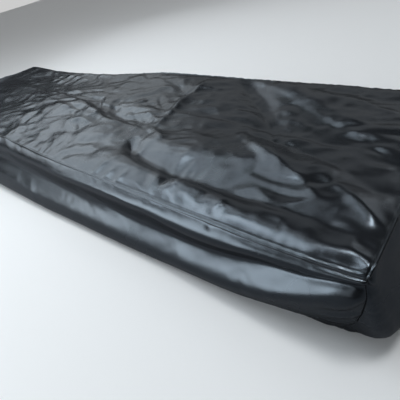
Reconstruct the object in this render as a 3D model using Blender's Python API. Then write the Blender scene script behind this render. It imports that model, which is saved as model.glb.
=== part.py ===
"""Fitted dust cover for an 88-key digital piano, as it hangs over the instrument.

Five cut pieces of coated nylon: a top panel and four skirt panels, sewn together along
the top seam and at the four upright corner seams. The cover is hollow and open below.

Metres, +Z up. The origin is in the middle of the top, at the height where the top lies on
the instrument. +X runs along the keyboard to the right, -Y is the player's side.
"""

import math
from collections import namedtuple

import bpy
import numpy as np

MM = 0.001

# Driving sizes
LENGTH = 1.420
DEPTH = 0.444
CLOTH = 0.002
SEAM_GAP = 0.0003

# How finely each panel is divided
SEGMENTS_ALONG = 50
SEGMENTS_ACROSS = 14
SEGMENTS_HALF_CORNER = 2
SKIRT_ROWS = 8

# Radius of the rounded corner in plan at each level of the skirt, from the seam to the hem
LEVELS = ("seam", "shoulder", "valley", "bulge", "turn", "hem")
CORNER_RADIUS = {"seam": 10 * MM, "shoulder": 14 * MM, "valley": 24 * MM,
                 "bulge": 36 * MM, "turn": 42 * MM, "hem": 56 * MM}

# One row for each cross-section around the cover, in millimetres. "at" is the place along
# its side. Each pair gives how far a level stands out from the side's nominal face and how
# far it lies below the top. "roll" is the width of the top's border that bends to the seam.
Section = namedtuple("Section", "side at roll "
                     "seam_out seam_drop shoulder_out shoulder_drop valley_out valley_drop "
                     "bulge_out bulge_drop turn_out turn_drop hem_out hem_drop")
SECTIONS = (
    Section("front", -710, 20, -2, 9, 2, 16, -2, 40, 8, 88, -2, 140, -34, 158),
    Section("front", -620, 34, -8, 6, 3, 19, -4, 60, 15, 104, 6, 146, -30, 163),
    Section("front", -450, 48, -20, 3, -4, 25, -8, 66, 20, 104, 14, 150, -22, 166),
    Section("front", -200, 60, -27, 2, -9, 29, -12, 62, 17, 96, 19, 148, -16, 167),
    Section("front", -20, 62, -20, 4, -1, 28, -12, 78, 16, 120, 19, 150, -10, 168),
    Section("front", 90, 60, -12, 6, 4, 24, -12, 80, 18, 126, 17, 150, -10, 168),
    Section("front", 250, 52, -8, 7, 6, 20, -11, 82, 16, 130, 12, 152, -12, 167),
    Section("front", 370, 34, -5, 8, 6, 17, -11, 84, 13, 132, 9, 150, -18, 166),
    Section("front", 470, 34, -2, 9, 13, 29, -8, 79, 17, 124, 4, 148, -24, 164),
    Section("front", 530, 30, 0, 9, 14, 27, -6, 67, 19, 112, 3, 140, -28, 162),
    Section("front", 585, 26, 1, 10, 9, 19, -5, 56, 18, 90, 12, 118, -34, 160),
    Section("front", 640, 24, 1, 10, 7, 19, -1, 40, 15, 64, 9, 94, -38, 158),
    Section("front", 685, 26, -1, 10, 5, 15, 2, 22, 14, 40, 9, 66, -34, 157),
    Section("right", -222, 9, -2, 9, 2, 13, 1, 20, 8, 36, 7, 72, -26, 158),
    Section("right", -206, 9, 0, 1, 3, 16, 6, 36, 15, 72, 18, 118, -14, 160),
    Section("right", -150, 10, 0, 0, 8, 20, 18, 56, 31, 104, 30, 148, -8, 165),
    Section("right", -50, 12, 0, 1, 8, 22, 16, 60, 30, 108, 28, 150, -8, 166),
    Section("right", 70, 12, -2, 1, 5, 22, 8, 60, 22, 110, 19, 152, -14, 166),
    Section("right", 160, 12, -1, 2, 3, 20, 4, 58, 12, 108, 8, 150, -22, 164),
    Section("back", 710, 12, -2, 5, 0, 18, -1, 50, 4, 98, -5, 146, -36, 160),
    Section("back", 600, 14, -3, 3, 1, 20, -4, 62, 6, 108, 1, 152, -26, 164),
    Section("back", 400, 14, -1, 1, 3, 22, -3, 66, 10, 112, 6, 155, -20, 166),
    Section("back", 230, 16, 0, -1, 4, 20, 2, 60, 12, 108, 8, 154, -20, 167),
    Section("back", 50, 18, 1, -3, 5, 18, 6, 56, 15, 104, 10, 153, -20, 167),
    Section("back", -120, 16, -6, 4, 0, 22, -5, 68, 8, 112, 4, 156, -22, 167),
    Section("back", -300, 14, -12, 9, -6, 26, -9, 74, 4, 116, 0, 158, -22, 167),
    Section("back", -500, 14, -11, 8, -5, 25, -6, 70, 6, 114, 1, 155, -25, 166),
    Section("back", -640, 12, -4, 4, 0, 20, -2, 60, 7, 106, 0, 151, -30, 163),
    Section("left", 222, 10, -2, 2, 0, 16, -1, 46, 4, 94, -5, 146, -36, 159),
    Section("left", 150, 30, -1, 0, 3, 18, 5, 56, 13, 104, 9, 150, -24, 163),
    Section("left", 80, 52, 2, -5, 8, 16, 10, 56, 20, 106, 16, 152, -16, 166),
    Section("left", -40, 48, 1, -4, 8, 18, 12, 60, 22, 108, 18, 152, -14, 166),
    Section("left", -150, 26, 0, 1, 6, 20, 8, 56, 17, 102, 12, 149, -22, 163),
)

# One row for each main fold of the top, in millimetres: a path from start through bend to
# end, its half-widths on the player's side (or the left side) and beyond, and its height,
# negative for a trough.
Fold = namedtuple("Fold", "start_x start_y bend_x bend_y end_x end_y near_width far_width height")
FOLDS = (
    # The rear left has sunk between the ends
    Fold(-640, 150, -350, 130, -60, 165, 100, 80, -9.0),
    # A slack fold runs from the left end towards the middle of the front, with a pinch in it
    Fold(-640, 40, -200, 18, 150, -84, 70, 38, 10.0),
    Fold(-90, 34, 60, -10, 210, -26, 22, 30, -8.0),
    # The crease where the cover was folded in half for packing, and the cross crease
    Fold(225, 30, 420, 28, 625, -4, 14, 26, -5.0),
    Fold(216, 10, 212, 100, 206, 205, 20, 20, 4.5),
    # The cloth is drawn up at the middle of the back edge
    Fold(0, 215, 120, 200, 300, 214, 60, 40, 5.0),
    # Long diagonal folds run from the back edge to the front right corner
    Fold(292, 225, 390, 135, 500, 10, 34, 20, -11.0),
    Fold(340, 225, 500, 142, 700, -6, 22, 60, 10.0),
    Fold(424, -6, 535, -80, 640, -146, 20, 24, 8.0),
    Fold(585, -70, 650, -104, 700, -150, 20, 24, 6.0),
    # The front edge lies up on the key slip, with a long trough behind it and a ridge behind that
    Fold(190, -150, 380, -182, 600, -186, 34, 16, 6.0),
    Fold(222, -96, 290, -160, 560, -158, 15, 24, -9.0),
    Fold(250, -96, 430, -92, 620, -66, 30, 34, 12.0),
    # Softer swells over the keys at the left
    Fold(-420, -120, -200, -80, 60, -120, 50, 60, 5.0),
    Fold(-560, -60, -420, -100, -300, -40, 40, 40, -5.0),
)
FOLD_STEPS = 24
FOLD_EDGE_FADE = 22 * MM
FOLD_END_SHARE = 0.25
SLOPE_STEP = 2 * MM

CLOTH_ROUGHNESS = 0.5
SMOOTH_ANGLE = 50
LEAST_MITRE = 0.6

SIDE_ORDER = ("front", "right", "back", "left")
SIDE_LENGTH = {"front": LENGTH, "right": DEPTH, "back": LENGTH, "left": DEPTH}
SIDE_START = {"front": 0.0, "right": LENGTH, "back": LENGTH + DEPTH, "left": 2 * LENGTH + DEPTH}
LOOP_LENGTH = 2 * (LENGTH + DEPTH)
OUTWARD = {"front": np.array((0.0, -1.0)), "right": np.array((1.0, 0.0)),
           "back": np.array((0.0, 1.0)), "left": np.array((-1.0, 0.0))}
ONWARD = {"front": np.array((1.0, 0.0)), "right": np.array((0.0, 1.0)),
          "back": np.array((-1.0, 0.0)), "left": np.array((0.0, -1.0))}


def smooth_step(t):
    t = np.clip(t, 0.0, 1.0)
    return t * t * (3.0 - 2.0 * t)


def unit(vectors):
    return vectors / np.linalg.norm(vectors, axis=-1, keepdims=True)


def loop_place(section):
    """Where a section lies along the loop of the four sides, from the front left corner."""
    along = section.at * MM * ONWARD[section.side].sum()
    return SIDE_START[section.side] + SIDE_LENGTH[section.side] / 2 + along


LOOP_PLACES = np.array([loop_place(section) for section in SECTIONS])


def gentle_slopes(places, values):
    """Slopes through a row of values that never overshoot between them."""
    rises = np.diff(values) / np.diff(places)
    before, after = rises[:-1], rises[1:]
    same_way = before * after > 0
    total = np.where(same_way, before + after, 1.0)
    slopes = np.zeros_like(values)
    slopes[1:-1] = np.where(same_way, 2 * before * after / total, 0.0)
    return slopes


def around(column, place):
    """A column of SECTIONS read at a place on the loop, as a smooth curve through its rows."""
    values = np.array([getattr(section, column) for section in SECTIONS]) * MM
    places = np.concatenate((LOOP_PLACES - LOOP_LENGTH, LOOP_PLACES, LOOP_PLACES + LOOP_LENGTH))
    values = np.tile(values, 3)
    slopes = gentle_slopes(places, values)
    place = np.mod(place, LOOP_LENGTH)
    row = np.clip(np.searchsorted(places, place, side="right") - 1, 0, len(places) - 2)
    span = places[row + 1] - places[row]
    t = (place - places[row]) / span
    return ((2 * t**3 - 3 * t**2 + 1) * values[row] + (t**3 - 2 * t**2 + t) * span * slopes[row]
            + (3 * t**2 - 2 * t**3) * values[row + 1] + (t**3 - t**2) * span * slopes[row + 1])


def stations(side):
    """The steps along a side, from the middle of one corner up to the middle of the next: -2 to
    -1 is the first half corner, -1 to 1 the straight and 1 to 2 the second half corner."""
    straight = SEGMENTS_ALONG if side in ("front", "back") else SEGMENTS_ACROSS
    first = np.linspace(-2, -1, SEGMENTS_HALF_CORNER + 1)[:-1]
    last = np.linspace(1, 2, SEGMENTS_HALF_CORNER + 1)[1:]
    return np.concatenate((first, np.linspace(-1, 1, straight + 1), last))


STATIONS = [(side, station) for side in SIDE_ORDER for station in stations(side)[:-1]]
COLUMNS = len(stations("front"))
ROWS = len(stations("right"))
SIDE_FIRST = {"front": 0, "right": COLUMNS - 1, "back": COLUMNS + ROWS - 2,
              "left": 2 * COLUMNS + ROWS - 3}


def level_point(level, side, station):
    """A point of one level of the skirt: its plan place and how far it lies below the top."""
    radius = CORNER_RADIUS[level]
    half = SIDE_LENGTH[side] / 2
    other = (DEPTH if side in ("front", "back") else LENGTH) / 2
    turn = max(abs(station) - 1.0, 0.0) * math.copysign(math.pi / 4, station)
    outward = OUTWARD[side] * math.cos(turn) + ONWARD[side] * math.sin(turn)
    along = max(-1.0, min(1.0, station)) * (half - radius)
    place = SIDE_START[side] + half + along + radius * turn / (math.pi / 4)
    plan = ONWARD[side] * along + OUTWARD[side] * (other - radius) + outward * radius
    plan = plan + outward * around(level + "_out", place)
    return np.array((plan[0], plan[1], -around(level + "_drop", place)))


def border_roll(x, y):
    """How the top bends from its flat to the seam heights along its four sides."""
    depth, free = np.zeros_like(x), np.ones_like(x)
    for side in ("front", "back", "right", "left"):
        along = x * ONWARD[side][0] + y * ONWARD[side][1]
        out = x * OUTWARD[side][0] + y * OUTWARD[side][1]
        half = SIDE_LENGTH[side] / 2
        other = (DEPTH if side in ("front", "back") else LENGTH) / 2
        place = SIDE_START[side] + half + np.clip(along, -half, half)
        inside = other + around("seam_out", place) - out
        bend = np.clip(1.0 - inside / around("roll", place), 0.0, 1.0) ** 2
        # The long sides' rolls go before those of the ends, which take what is left
        depth += around("seam_drop", place) * bend * free
        free = free * (1.0 - bend)
    return -depth


def fold_height(x, y):
    """The sum of the folds' heights: each is a soft hump or trough across its own path."""
    height = np.zeros_like(x)
    t = np.linspace(0.0, 1.0, FOLD_STEPS + 1)[:, None]
    for fold in FOLDS:
        start = np.array((fold.start_x, fold.start_y)) * MM
        bend = np.array((fold.bend_x, fold.bend_y)) * MM
        end = np.array((fold.end_x, fold.end_y)) * MM
        path = (1 - t) ** 2 * start + 2 * t * (1 - t) * bend + t**2 * end
        nearest = np.full(x.shape, LENGTH)
        side = np.zeros_like(x)
        reached = np.zeros_like(x)
        for step in range(FOLD_STEPS):
            run = path[step + 1] - path[step]
            from_x, from_y = x - path[step][0], y - path[step][1]
            part = np.clip((from_x * run[0] + from_y * run[1]) / run.dot(run), 0.0, 1.0)
            distance = np.hypot(from_x - part * run[0], from_y - part * run[1])
            closer = distance < nearest
            nearest = np.where(closer, distance, nearest)
            side = np.where(closer, run[0] * from_y - run[1] * from_x, side)
            reached = np.where(closer, (step + part) / FOLD_STEPS, reached)
        width = np.where(side > 0, fold.far_width, fold.near_width) * MM
        ends = FOLD_END_SHARE + (1 - FOLD_END_SHARE) * np.sin(np.pi * reached) ** 0.5
        height += fold.height * MM * np.exp(-(nearest / width) ** 2) * ends
    return height


def top_height(x, y):
    """Height of the top panel over any place inside its outline."""
    edge = np.minimum(LENGTH / 2 - np.abs(x), DEPTH / 2 - np.abs(y))
    return border_roll(x, y) + fold_height(x, y) * smooth_step(edge / FOLD_EDGE_FADE)


def top_normal(x, y):
    """Upward normal of the top's height over any place."""
    slope_x = (top_height(x + SLOPE_STEP, y) - top_height(x - SLOPE_STEP, y)) / (2 * SLOPE_STEP)
    slope_y = (top_height(x, y + SLOPE_STEP) - top_height(x, y - SLOPE_STEP)) / (2 * SLOPE_STEP)
    return unit(np.stack((-slope_x, -slope_y, np.ones_like(x)), axis=-1))


def smooth_curve(marks, steps):
    """Evenly spaced points on a smooth curve through the marks."""
    reach = np.concatenate(([0.0], np.cumsum(np.linalg.norm(np.diff(marks, axis=0), axis=1))))
    slopes = np.gradient(marks, reach, axis=0)
    wanted = np.linspace(0.0, reach[-1], steps + 1)
    part = np.clip(np.searchsorted(reach, wanted, side="right") - 1, 0, len(marks) - 2)
    span = (reach[part + 1] - reach[part])[:, None]
    t = (wanted - reach[part])[:, None] / span
    return ((2 * t**3 - 3 * t**2 + 1) * marks[part] + (t**3 - 2 * t**2 + t) * span * slopes[part]
            + (3 * t**2 - 2 * t**3) * marks[part + 1] + (t**3 - t**2) * span * slopes[part + 1])


def skirt_loop():
    """All four skirts as one closed grid: rows up from the hem to the seam, columns around the
    cover from the front left corner."""
    columns = []
    for side, station in STATIONS:
        marks = np.array([level_point(level, side, station) for level in LEVELS])
        marks[0, 2] = top_height(marks[0:1, 0], marks[0:1, 1])[0]
        columns.append(smooth_curve(marks, SKIRT_ROWS)[::-1])
    return np.array(columns).transpose(1, 0, 2)


def border_places():
    """The row and column of each border point of the top's grid, in the skirt loop's order."""
    return ([(0, column) for column in range(COLUMNS)]
            + [(row, COLUMNS - 1) for row in range(1, ROWS)]
            + [(ROWS - 1, column) for column in range(COLUMNS - 2, -1, -1)]
            + [(row, 0) for row in range(ROWS - 2, 0, -1)])


def top_grid(seam):
    """The top panel as a grid of points: its border is the seam, and its inside is blended
    from the four borders and lifted to the top's height."""
    grid = np.zeros((ROWS, COLUMNS, 3))
    for place, point in zip(border_places(), seam):
        grid[place] = point
    front, back, left, right = grid[0], grid[-1], grid[:, 0], grid[:, -1]
    u = ((front[:, 0] - front[0, 0]) / (front[-1, 0] - front[0, 0]))[None, :, None]
    v = ((right[:, 1] - right[0, 1]) / (right[-1, 1] - right[0, 1]))[:, None, None]
    blend = ((1 - v) * front[None] + v * back[None]
             + (1 - u) * left[:, None] + u * right[:, None]
             - (1 - u) * (1 - v) * front[0] - u * (1 - v) * front[-1]
             - (1 - u) * v * back[0] - u * v * back[-1])
    grid[1:-1, 1:-1] = blend[1:-1, 1:-1]
    grid[1:-1, 1:-1, 2] = top_height(grid[1:-1, 1:-1, 0], grid[1:-1, 1:-1, 1])
    return grid


def cloth_material(name, colour):
    material = bpy.data.materials.new(name)
    material.use_nodes = True
    shader = material.node_tree.nodes["Principled BSDF"]
    shader.inputs["Base Color"].default_value = colour
    shader.inputs["Roughness"].default_value = CLOTH_ROUGHNESS
    shader.inputs["Metallic"].default_value = 0.0
    return material


def sheet(name, grid, halves, colour):
    """A closed thin solid: the grid moved out and in by half the cloth's thickness."""
    rows, columns = grid.shape[:2]
    points = np.concatenate(((grid + halves).reshape(-1, 3), (grid - halves).reshape(-1, 3)))
    inner = rows * columns
    faces = []
    for row in range(rows - 1):
        for column in range(columns - 1):
            a = row * columns + column
            b, c, d = a + 1, a + columns + 1, a + columns
            faces += [(a, b, c), (a, c, d)]
            faces += [(inner + c, inner + b, inner + a), (inner + d, inner + c, inner + a)]
    rim = ([column for column in range(columns)]
           + [row * columns + columns - 1 for row in range(1, rows)]
           + [(rows - 1) * columns + column for column in range(columns - 2, -1, -1)]
           + [row * columns for row in range(rows - 2, 0, -1)])
    for here, after in zip(rim, rim[1:] + rim[:1]):
        # The shorter diagonal, so that two pieces that meet at a seam are cut alike
        one = np.linalg.norm(points[here] - points[inner + after])
        two = np.linalg.norm(points[inner + here] - points[after])
        if one < two:
            faces += [(here, inner + here, inner + after), (here, inner + after, after)]
        else:
            faces += [(here, inner + here, after), (inner + here, inner + after, after)]
    mesh = bpy.data.meshes.new(name)
    mesh.from_pydata([tuple(point) for point in points], [], faces)
    mesh.shade_smooth()
    mesh.set_sharp_from_angle(angle=math.radians(SMOOTH_ANGLE))
    panel = bpy.data.objects.new(name, mesh)
    panel.data.materials.append(cloth_material(name + "_cloth", colour))
    bpy.context.scene.collection.objects.link(panel)
    return panel


def build_cover():
    skirt = skirt_loop()
    seam = skirt[-1]
    top = top_grid(seam)
    border = tuple(np.array(border_places()).T)

    # Normals of the top, and of the closed loop of skirts
    top_normals = top_normal(top[..., 0], top[..., 1])
    onward = np.roll(skirt, -1, axis=1) - np.roll(skirt, 1, axis=1)
    skirt_normals = unit(np.cross(onward, np.gradient(skirt, axis=0)))
    top_halves, skirt_halves = top_normals * CLOTH / 2, skirt_normals * CLOTH / 2

    # Along the top seam both pieces end on the same mitre, half a gap to each side of it
    middle = unit(top_normals[border] + skirt_normals[-1])
    lean = (middle * top_normals[border]).sum(axis=-1, keepdims=True)
    mitre = middle / np.maximum(lean, LEAST_MITRE) * CLOTH / 2
    part_down = unit(np.cross(onward[-1], middle)) * SEAM_GAP / 2
    top_halves[border], skirt_halves[-1] = mitre, mitre
    top[border] -= part_down
    skirt[-1] += part_down
    sheet("top_panel", top, top_halves, (0.020, 0.022, 0.026, 1.0))

    # The loop is cut at the corner seams, half a gap to each side
    loop = skirt.shape[1]
    apart = unit(onward) * SEAM_GAP / 2
    for side in SIDE_ORDER:
        count = COLUMNS if side in ("front", "back") else ROWS
        columns = (SIDE_FIRST[side] + np.arange(count)) % loop
        panel = skirt[:, columns]
        panel[:, 0] += apart[:, columns[0]]
        panel[:, -1] -= apart[:, columns[-1]]
        name = side + ("_panel" if side in ("front", "back") else "_end_panel")
        sheet(name, panel, skirt_halves[:, columns], (0.022, 0.024, 0.028, 1.0))


for thing in list(bpy.data.objects):
    bpy.data.objects.remove(thing)
build_cover()
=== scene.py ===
"""Fitted dust cover for a long digital piano, as it hangs over the instrument.

A top panel and four skirts of black coated nylon, with their folds, sewn seams, turned hem
and stitching. Metres, +Z up. The origin is in the middle of the top, +X runs along the
keyboard to the right and -Y is the player's side.
"""

import math
from collections import namedtuple

import bpy
import numpy as np
from bpy.props import FloatProperty, FloatVectorProperty, PointerProperty
from mathutils import Matrix, Vector, noise


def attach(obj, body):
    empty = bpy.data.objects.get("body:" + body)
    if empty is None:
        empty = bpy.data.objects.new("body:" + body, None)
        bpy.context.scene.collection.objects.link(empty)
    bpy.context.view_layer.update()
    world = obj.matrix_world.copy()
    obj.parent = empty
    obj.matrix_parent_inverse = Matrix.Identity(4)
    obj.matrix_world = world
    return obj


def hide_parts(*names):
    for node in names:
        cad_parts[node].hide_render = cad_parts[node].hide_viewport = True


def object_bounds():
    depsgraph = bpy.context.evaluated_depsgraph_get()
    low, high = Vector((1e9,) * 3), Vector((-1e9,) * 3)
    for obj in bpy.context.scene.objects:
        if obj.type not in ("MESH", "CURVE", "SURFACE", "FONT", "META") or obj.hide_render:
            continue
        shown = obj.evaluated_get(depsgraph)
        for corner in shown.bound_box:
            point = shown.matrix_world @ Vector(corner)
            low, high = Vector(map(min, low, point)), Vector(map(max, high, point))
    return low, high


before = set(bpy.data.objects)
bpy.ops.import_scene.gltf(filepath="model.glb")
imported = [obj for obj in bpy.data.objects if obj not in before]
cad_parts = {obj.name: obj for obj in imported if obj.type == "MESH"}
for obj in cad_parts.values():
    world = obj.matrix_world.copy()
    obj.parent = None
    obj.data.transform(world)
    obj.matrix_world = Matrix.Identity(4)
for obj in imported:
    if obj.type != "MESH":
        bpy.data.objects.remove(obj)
FRAME_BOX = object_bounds()

bl_info = {
    "name": "Fitted Piano Cover",
    "version": (1, 0, 0),
    "blender": (4, 5, 0),
    "location": "3D View > Sidebar > Cover",
    "description": "Builds a fitted nylon piano cover with its folds, seams, hem and stitching",
    "category": "Object",
}

MM = 0.001


def linear(hex_colour):
    """The linear colour of an sRGB hex value such as 0x1C1E22."""
    parts = [(hex_colour >> shift & 255) / 255 for shift in (16, 8, 0)]
    return [part / 12.92 if part <= 0.04045 else ((part + 0.055) / 1.055) ** 2.4 for part in parts]


# The cover's form

# Radius of the rounded corner in plan at each level of the skirt, from the seam to the hem
LEVELS = ("seam", "shoulder", "valley", "bulge", "turn", "hem")
CORNER_RADIUS = {"seam": 6 * MM, "shoulder": 9 * MM, "valley": 14 * MM,
                 "bulge": 22 * MM, "turn": 34 * MM, "hem": 54 * MM}

# One row for each cross-section around the cover, in millimetres. "at" is the place along
# its side. Each pair gives how far a level stands out from the side's nominal face and how
# far it lies below the top. "roll" is the width of the top's border that bends to the seam.
Section = namedtuple("Section", "side at roll "
                     "seam_out seam_drop shoulder_out shoulder_drop valley_out valley_drop "
                     "bulge_out bulge_drop turn_out turn_drop hem_out hem_drop")
SECTIONS = tuple(Section(side, *row) for side, rows in {
    "front": (
        (-710, 20, -2, 9, 2, 16, -2, 40, 8, 88, -2, 140, -34, 158),
        (-620, 34, -8, 6, 3, 19, -4, 60, 15, 104, 6, 146, -30, 163),
        (-450, 48, -20, 3, -4, 25, -8, 66, 20, 104, 14, 150, -22, 166),
        (-200, 60, -27, 2, -14, 20, -15, 62, 11, 104, 16, 146, -16, 167),
        (-20, 62, -20, 4, -8, 22, -11, 74, 13, 120, 17, 150, -10, 168),
        (90, 60, -12, 6, -1, 22, -8, 77, 14, 125, 15, 150, -10, 168),
        (250, 52, -8, 7, 3, 20, -7, 79, 13, 128, 11, 152, -12, 167),
        (370, 34, -5, 8, 5, 18, -7, 80, 11, 129, 8, 150, -18, 166),
        (470, 34, -2, 9, 10, 26, -5, 77, 14, 121, 5, 148, -20, 165),
        (530, 30, 0, 9, 11, 25, -4, 67, 17, 110, 7, 140, -22, 165),
        (585, 26, 1, 10, 9, 19, -5, 56, 18, 90, 12, 118, -24, 165),
        (640, 24, 1, 10, 7, 19, -1, 40, 15, 64, 10, 96, -25, 165),
        (685, 26, -1, 10, 5, 15, 2, 22, 12, 40, 9, 70, -26, 165),
    ),
    "right": (
        (-222, 9, -2, 9, 2, 13, 1, 20, 8, 38, 8, 76, -20, 165),
        (-206, 9, 0, 1, 3, 16, 6, 36, 15, 72, 18, 118, -12, 165),
        (-150, 10, 0, 0, 8, 20, 18, 56, 31, 104, 30, 148, -8, 165),
        (-50, 12, 0, 1, 8, 22, 16, 60, 30, 108, 28, 150, -8, 166),
        (70, 12, -2, 1, 5, 22, 8, 60, 22, 110, 19, 152, -14, 166),
        (160, 12, -1, 2, 3, 20, 4, 58, 12, 108, 8, 150, -22, 164),
    ),
    "back": (
        (710, 12, -2, 5, 0, 18, -1, 50, 4, 98, -5, 146, -36, 160),
        (600, 14, -3, 3, 1, 20, -4, 62, 6, 108, 1, 152, -26, 164),
        (400, 14, -1, 1, 3, 22, -3, 66, 10, 112, 6, 155, -20, 166),
        (230, 16, 0, -1, 4, 20, 2, 60, 12, 108, 8, 154, -20, 167),
        (50, 18, 1, -3, 5, 18, 6, 56, 15, 104, 10, 153, -20, 167),
        (-120, 16, -6, 4, 0, 22, -5, 68, 8, 112, 4, 156, -22, 167),
        (-300, 14, -12, 9, -6, 26, -9, 74, 4, 116, 0, 158, -22, 167),
        (-500, 14, -11, 8, -5, 25, -6, 70, 6, 114, 1, 155, -25, 166),
        (-640, 12, -4, 4, 0, 20, -2, 60, 7, 106, 0, 151, -30, 163),
    ),
    "left": (
        (222, 10, -2, 2, 0, 16, -1, 46, 4, 94, -5, 146, -36, 159),
        (150, 30, -1, 0, 3, 18, 5, 56, 13, 104, 9, 150, -24, 163),
        (80, 52, 2, -5, 8, 16, 10, 56, 20, 106, 16, 152, -16, 166),
        (-40, 48, 1, -4, 8, 18, 12, 60, 22, 108, 18, 152, -14, 166),
        (-150, 26, 0, 1, 6, 20, 8, 56, 17, 102, 12, 149, -22, 163),
    ),
}.items() for row in rows)

# One row for each fold, in millimetres: a path from start through bend to end, its half-widths
# on the right and the left of the way it runs, and its height, negative for a trough. On the
# top u and v are X and Y. On a skirt u runs onward from its middle and v is below the seam.
Fold = namedtuple("Fold", "start_u start_v bend_u bend_v end_u end_v near_width far_width height")


def folds(*rows):
    return tuple(Fold(*row) for row in rows)


MAIN_FOLDS = folds(
    # The rear left has sunk between the ends
    (-640, 150, -350, 130, -60, 165, 100, 80, -9.0),
    # A slack fold runs from the left end towards the middle of the front, with a pinch in it
    (-640, 40, -200, 18, 150, -84, 70, 38, 10.0),
    (-90, 34, 60, -10, 210, -26, 22, 30, -8.0),
    # The crease where the cover was folded in half for packing, and the cross crease
    (225, 30, 420, 28, 625, -4, 14, 26, -5.0),
    (216, 10, 212, 100, 206, 205, 24, 20, 3.0),
    # The cloth is drawn up at the middle of the back edge
    (0, 215, 120, 200, 300, 214, 60, 40, 5.0),
    # Long diagonal folds run from the back edge to the front right corner
    (292, 225, 390, 135, 500, 10, 34, 20, -11.0),
    (340, 225, 500, 142, 700, -6, 22, 60, 10.0),
    (424, -6, 535, -80, 640, -146, 20, 24, 8.0),
    (585, -70, 650, -104, 700, -150, 20, 24, 6.0),
    # The front edge lies up on the key slip, with a long trough behind it and a ridge behind that
    (190, -150, 380, -182, 600, -186, 34, 16, 6.0),
    (222, -96, 290, -160, 560, -158, 15, 24, -9.0),
    (250, -96, 430, -92, 620, -66, 30, 40, 9.5),
    # Softer swells over the keys at the left
    (-420, -120, -200, -80, 60, -120, 50, 60, 5.0),
    (-560, -60, -420, -100, -300, -40, 40, 40, -5.0),
)
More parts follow.
